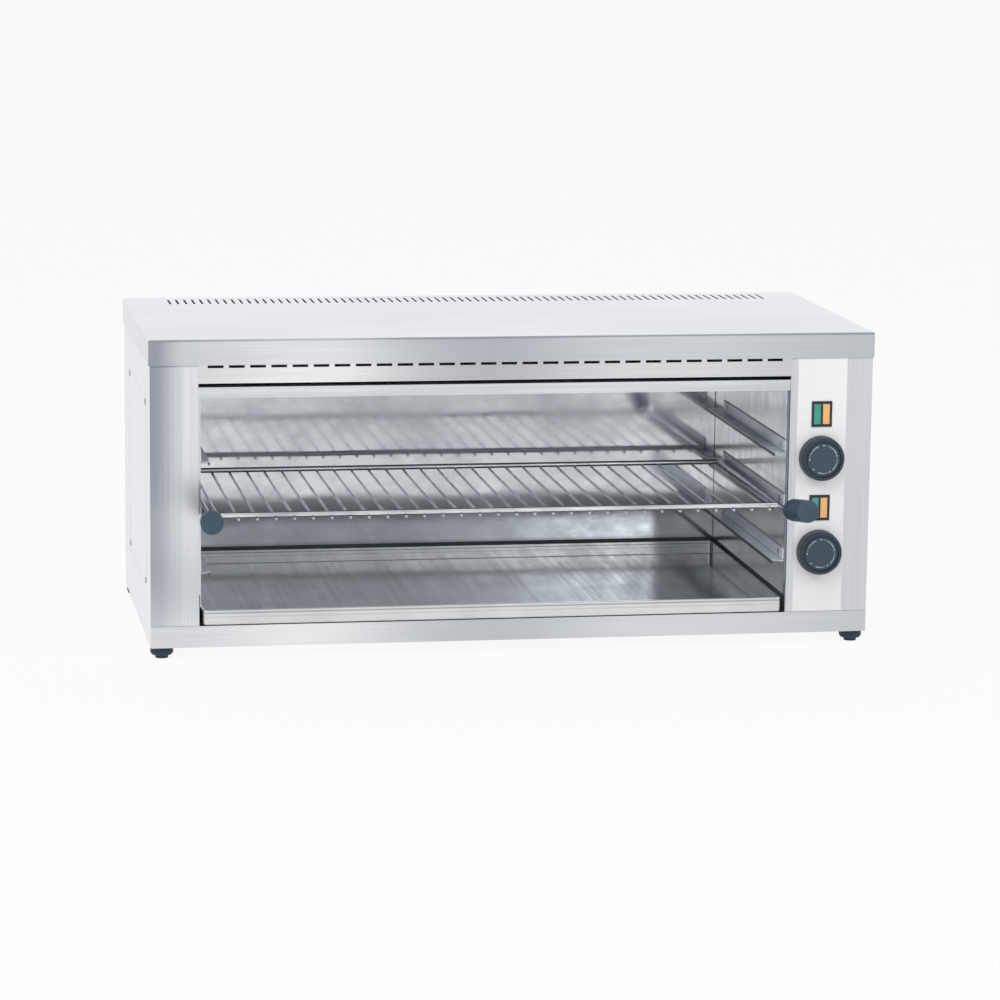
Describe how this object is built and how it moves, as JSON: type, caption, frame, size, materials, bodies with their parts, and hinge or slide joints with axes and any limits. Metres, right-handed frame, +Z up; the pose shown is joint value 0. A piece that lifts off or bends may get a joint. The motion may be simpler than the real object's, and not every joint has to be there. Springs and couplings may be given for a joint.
{
  "type": "salamander toaster",
  "caption": "Open-fronted stainless salamander toaster with a pull-out wire rack, crumb tray, quartz heaters and a side control panel with dials and lamps.",
  "frame": {"origin": "on the table, under the middle of the whole object from the handle ends to the cable gland", "axes": "+X to the right of the user, along the long side; +Y from the front to the back; +Z up"},
  "size_m": [0.8, 0.4838, 0.349],
  "materials": {
    "brushed_rail": "satin brushed stainless steel",
    "brushed_front": "satin brushed stainless steel, vertical and horizontal grain",
    "side_steel": "fine satin stainless steel",
    "lid_steel": "fine satin stainless steel",
    "bright_bar": "bright stainless steel",
    "chamber_steel": "mirror-polished stainless liner",
    "runner_steel": "polished stainless steel",
    "tray_steel": "polished stainless steel",
    "rack_wire": "bright chromed wire",
    "plain_steel": "mill-finish steel",
    "screw_steel": "stainless screw",
    "panel_film": "near-white satin control panel",
    "handle_plastic": "dark blue-grey heat-proof plastic",
    "knob_plastic": "dark blue-grey moulded plastic",
    "black_plastic": "black moulded plastic",
    "white_plastic": "white moulded plastic",
    "regulator_plastic": "dark moulded plastic",
    "wire_cover": "heat-proof silicone cover",
    "ceramic_white": "white steatite",
    "quartz": "translucent quartz tube",
    "lamp_green": "green translucent window",
    "lamp_amber": "amber translucent window",
    "foot_rubber": "dark rubber"
  },
  "bodies": {
    "cabinet": {"base_pan": "brushed_rail", "cable_gland": "black_plastic", "casing_screws": "screw_steel", "ceiling_reflector": "chamber_steel", "chamber_back_wall": "chamber_steel", "chamber_floor": "chamber_steel", "chamber_left_wall": "chamber_steel", "chamber_right_wall": "chamber_steel", "control_overlay": "panel_film", "element_bracket_left": "plain_steel", "element_bracket_right": "plain_steel", "energy_regulator_lower": "regulator_plastic", "energy_regulator_upper": "regulator_plastic", "foot_front_left": "foot_rubber", "foot_front_right": "foot_rubber", "foot_rear_left": "foot_rubber", "foot_rear_right": "foot_rubber", "foot_screws": "screw_steel", "front_crossbar": "brushed_front", "gland_nut": "black_plastic", "hood_front_bar": "bright_bar", "lamp_amber_lower": "lamp_amber", "lamp_amber_upper": "lamp_amber", "lamp_bezel_lower": "black_plastic", "lamp_bezel_upper": "black_plastic", "lamp_green_lower": "lamp_green", "lamp_green_upper": "lamp_green", "left_front_column": "brushed_front", "left_side_panel": "side_steel", "quartz_tube_1": "quartz", "quartz_tube_2": "quartz", "quartz_tube_3": "quartz", "quartz_tube_4": "quartz", "rear_panel": "side_steel", "regulator_screws": "screw_steel", "right_front_column": "brushed_front", "right_side_panel": "side_steel", "runner_left_lower": "runner_steel", "runner_left_middle": "runner_steel", "runner_left_upper": "runner_steel", "runner_right_lower": "runner_steel", "runner_right_middle": "runner_steel", "runner_right_upper": "runner_steel", "runner_screws": "screw_steel", "terminal_block": "white_plastic", "top_cover": "lid_steel", "tube_end_caps": "ceramic_white", "wiring_loom": "wire_cover"},
    "rack": {"rack_side_rod_left": "rack_wire", "rack_side_rod_right": "rack_wire", "rack_cross_rods": "rack_wire", "rack_wires": "rack_wire", "rack_handle_left": "handle_plastic", "rack_handle_right": "handle_plastic"},
    "tray": {"crumb_tray": "tray_steel"},
    "upper_knob": {"knob_upper": "knob_plastic", "regulator_shaft_upper": "plain_steel"},
    "lower_knob": {"knob_lower": "knob_plastic", "regulator_shaft_lower": "plain_steel"}
  },
  "joints": [
    {"name": "rack_slide", "type": "slide", "parent": "cabinet", "child": "rack", "axis": [0, -1, 0], "range_m": [0, 0.31]},
    {"name": "tray_slide", "type": "slide", "parent": "cabinet", "child": "tray", "axis": [0, -1, 0], "range_m": [0, 0.355]},
    {"name": "upper_dial_turn", "type": "hinge", "parent": "cabinet", "child": "upper_knob", "pos_m": [0.34175, -0.14261, 0.21], "axis": [0, 1, 0], "range_deg": [0, 290]},
    {"name": "lower_dial_turn", "type": "hinge", "parent": "cabinet", "child": "lower_knob", "pos_m": [0.34175, -0.14261, 0.1045], "axis": [0, 1, 0], "range_deg": [0, 290]}
  ]
}
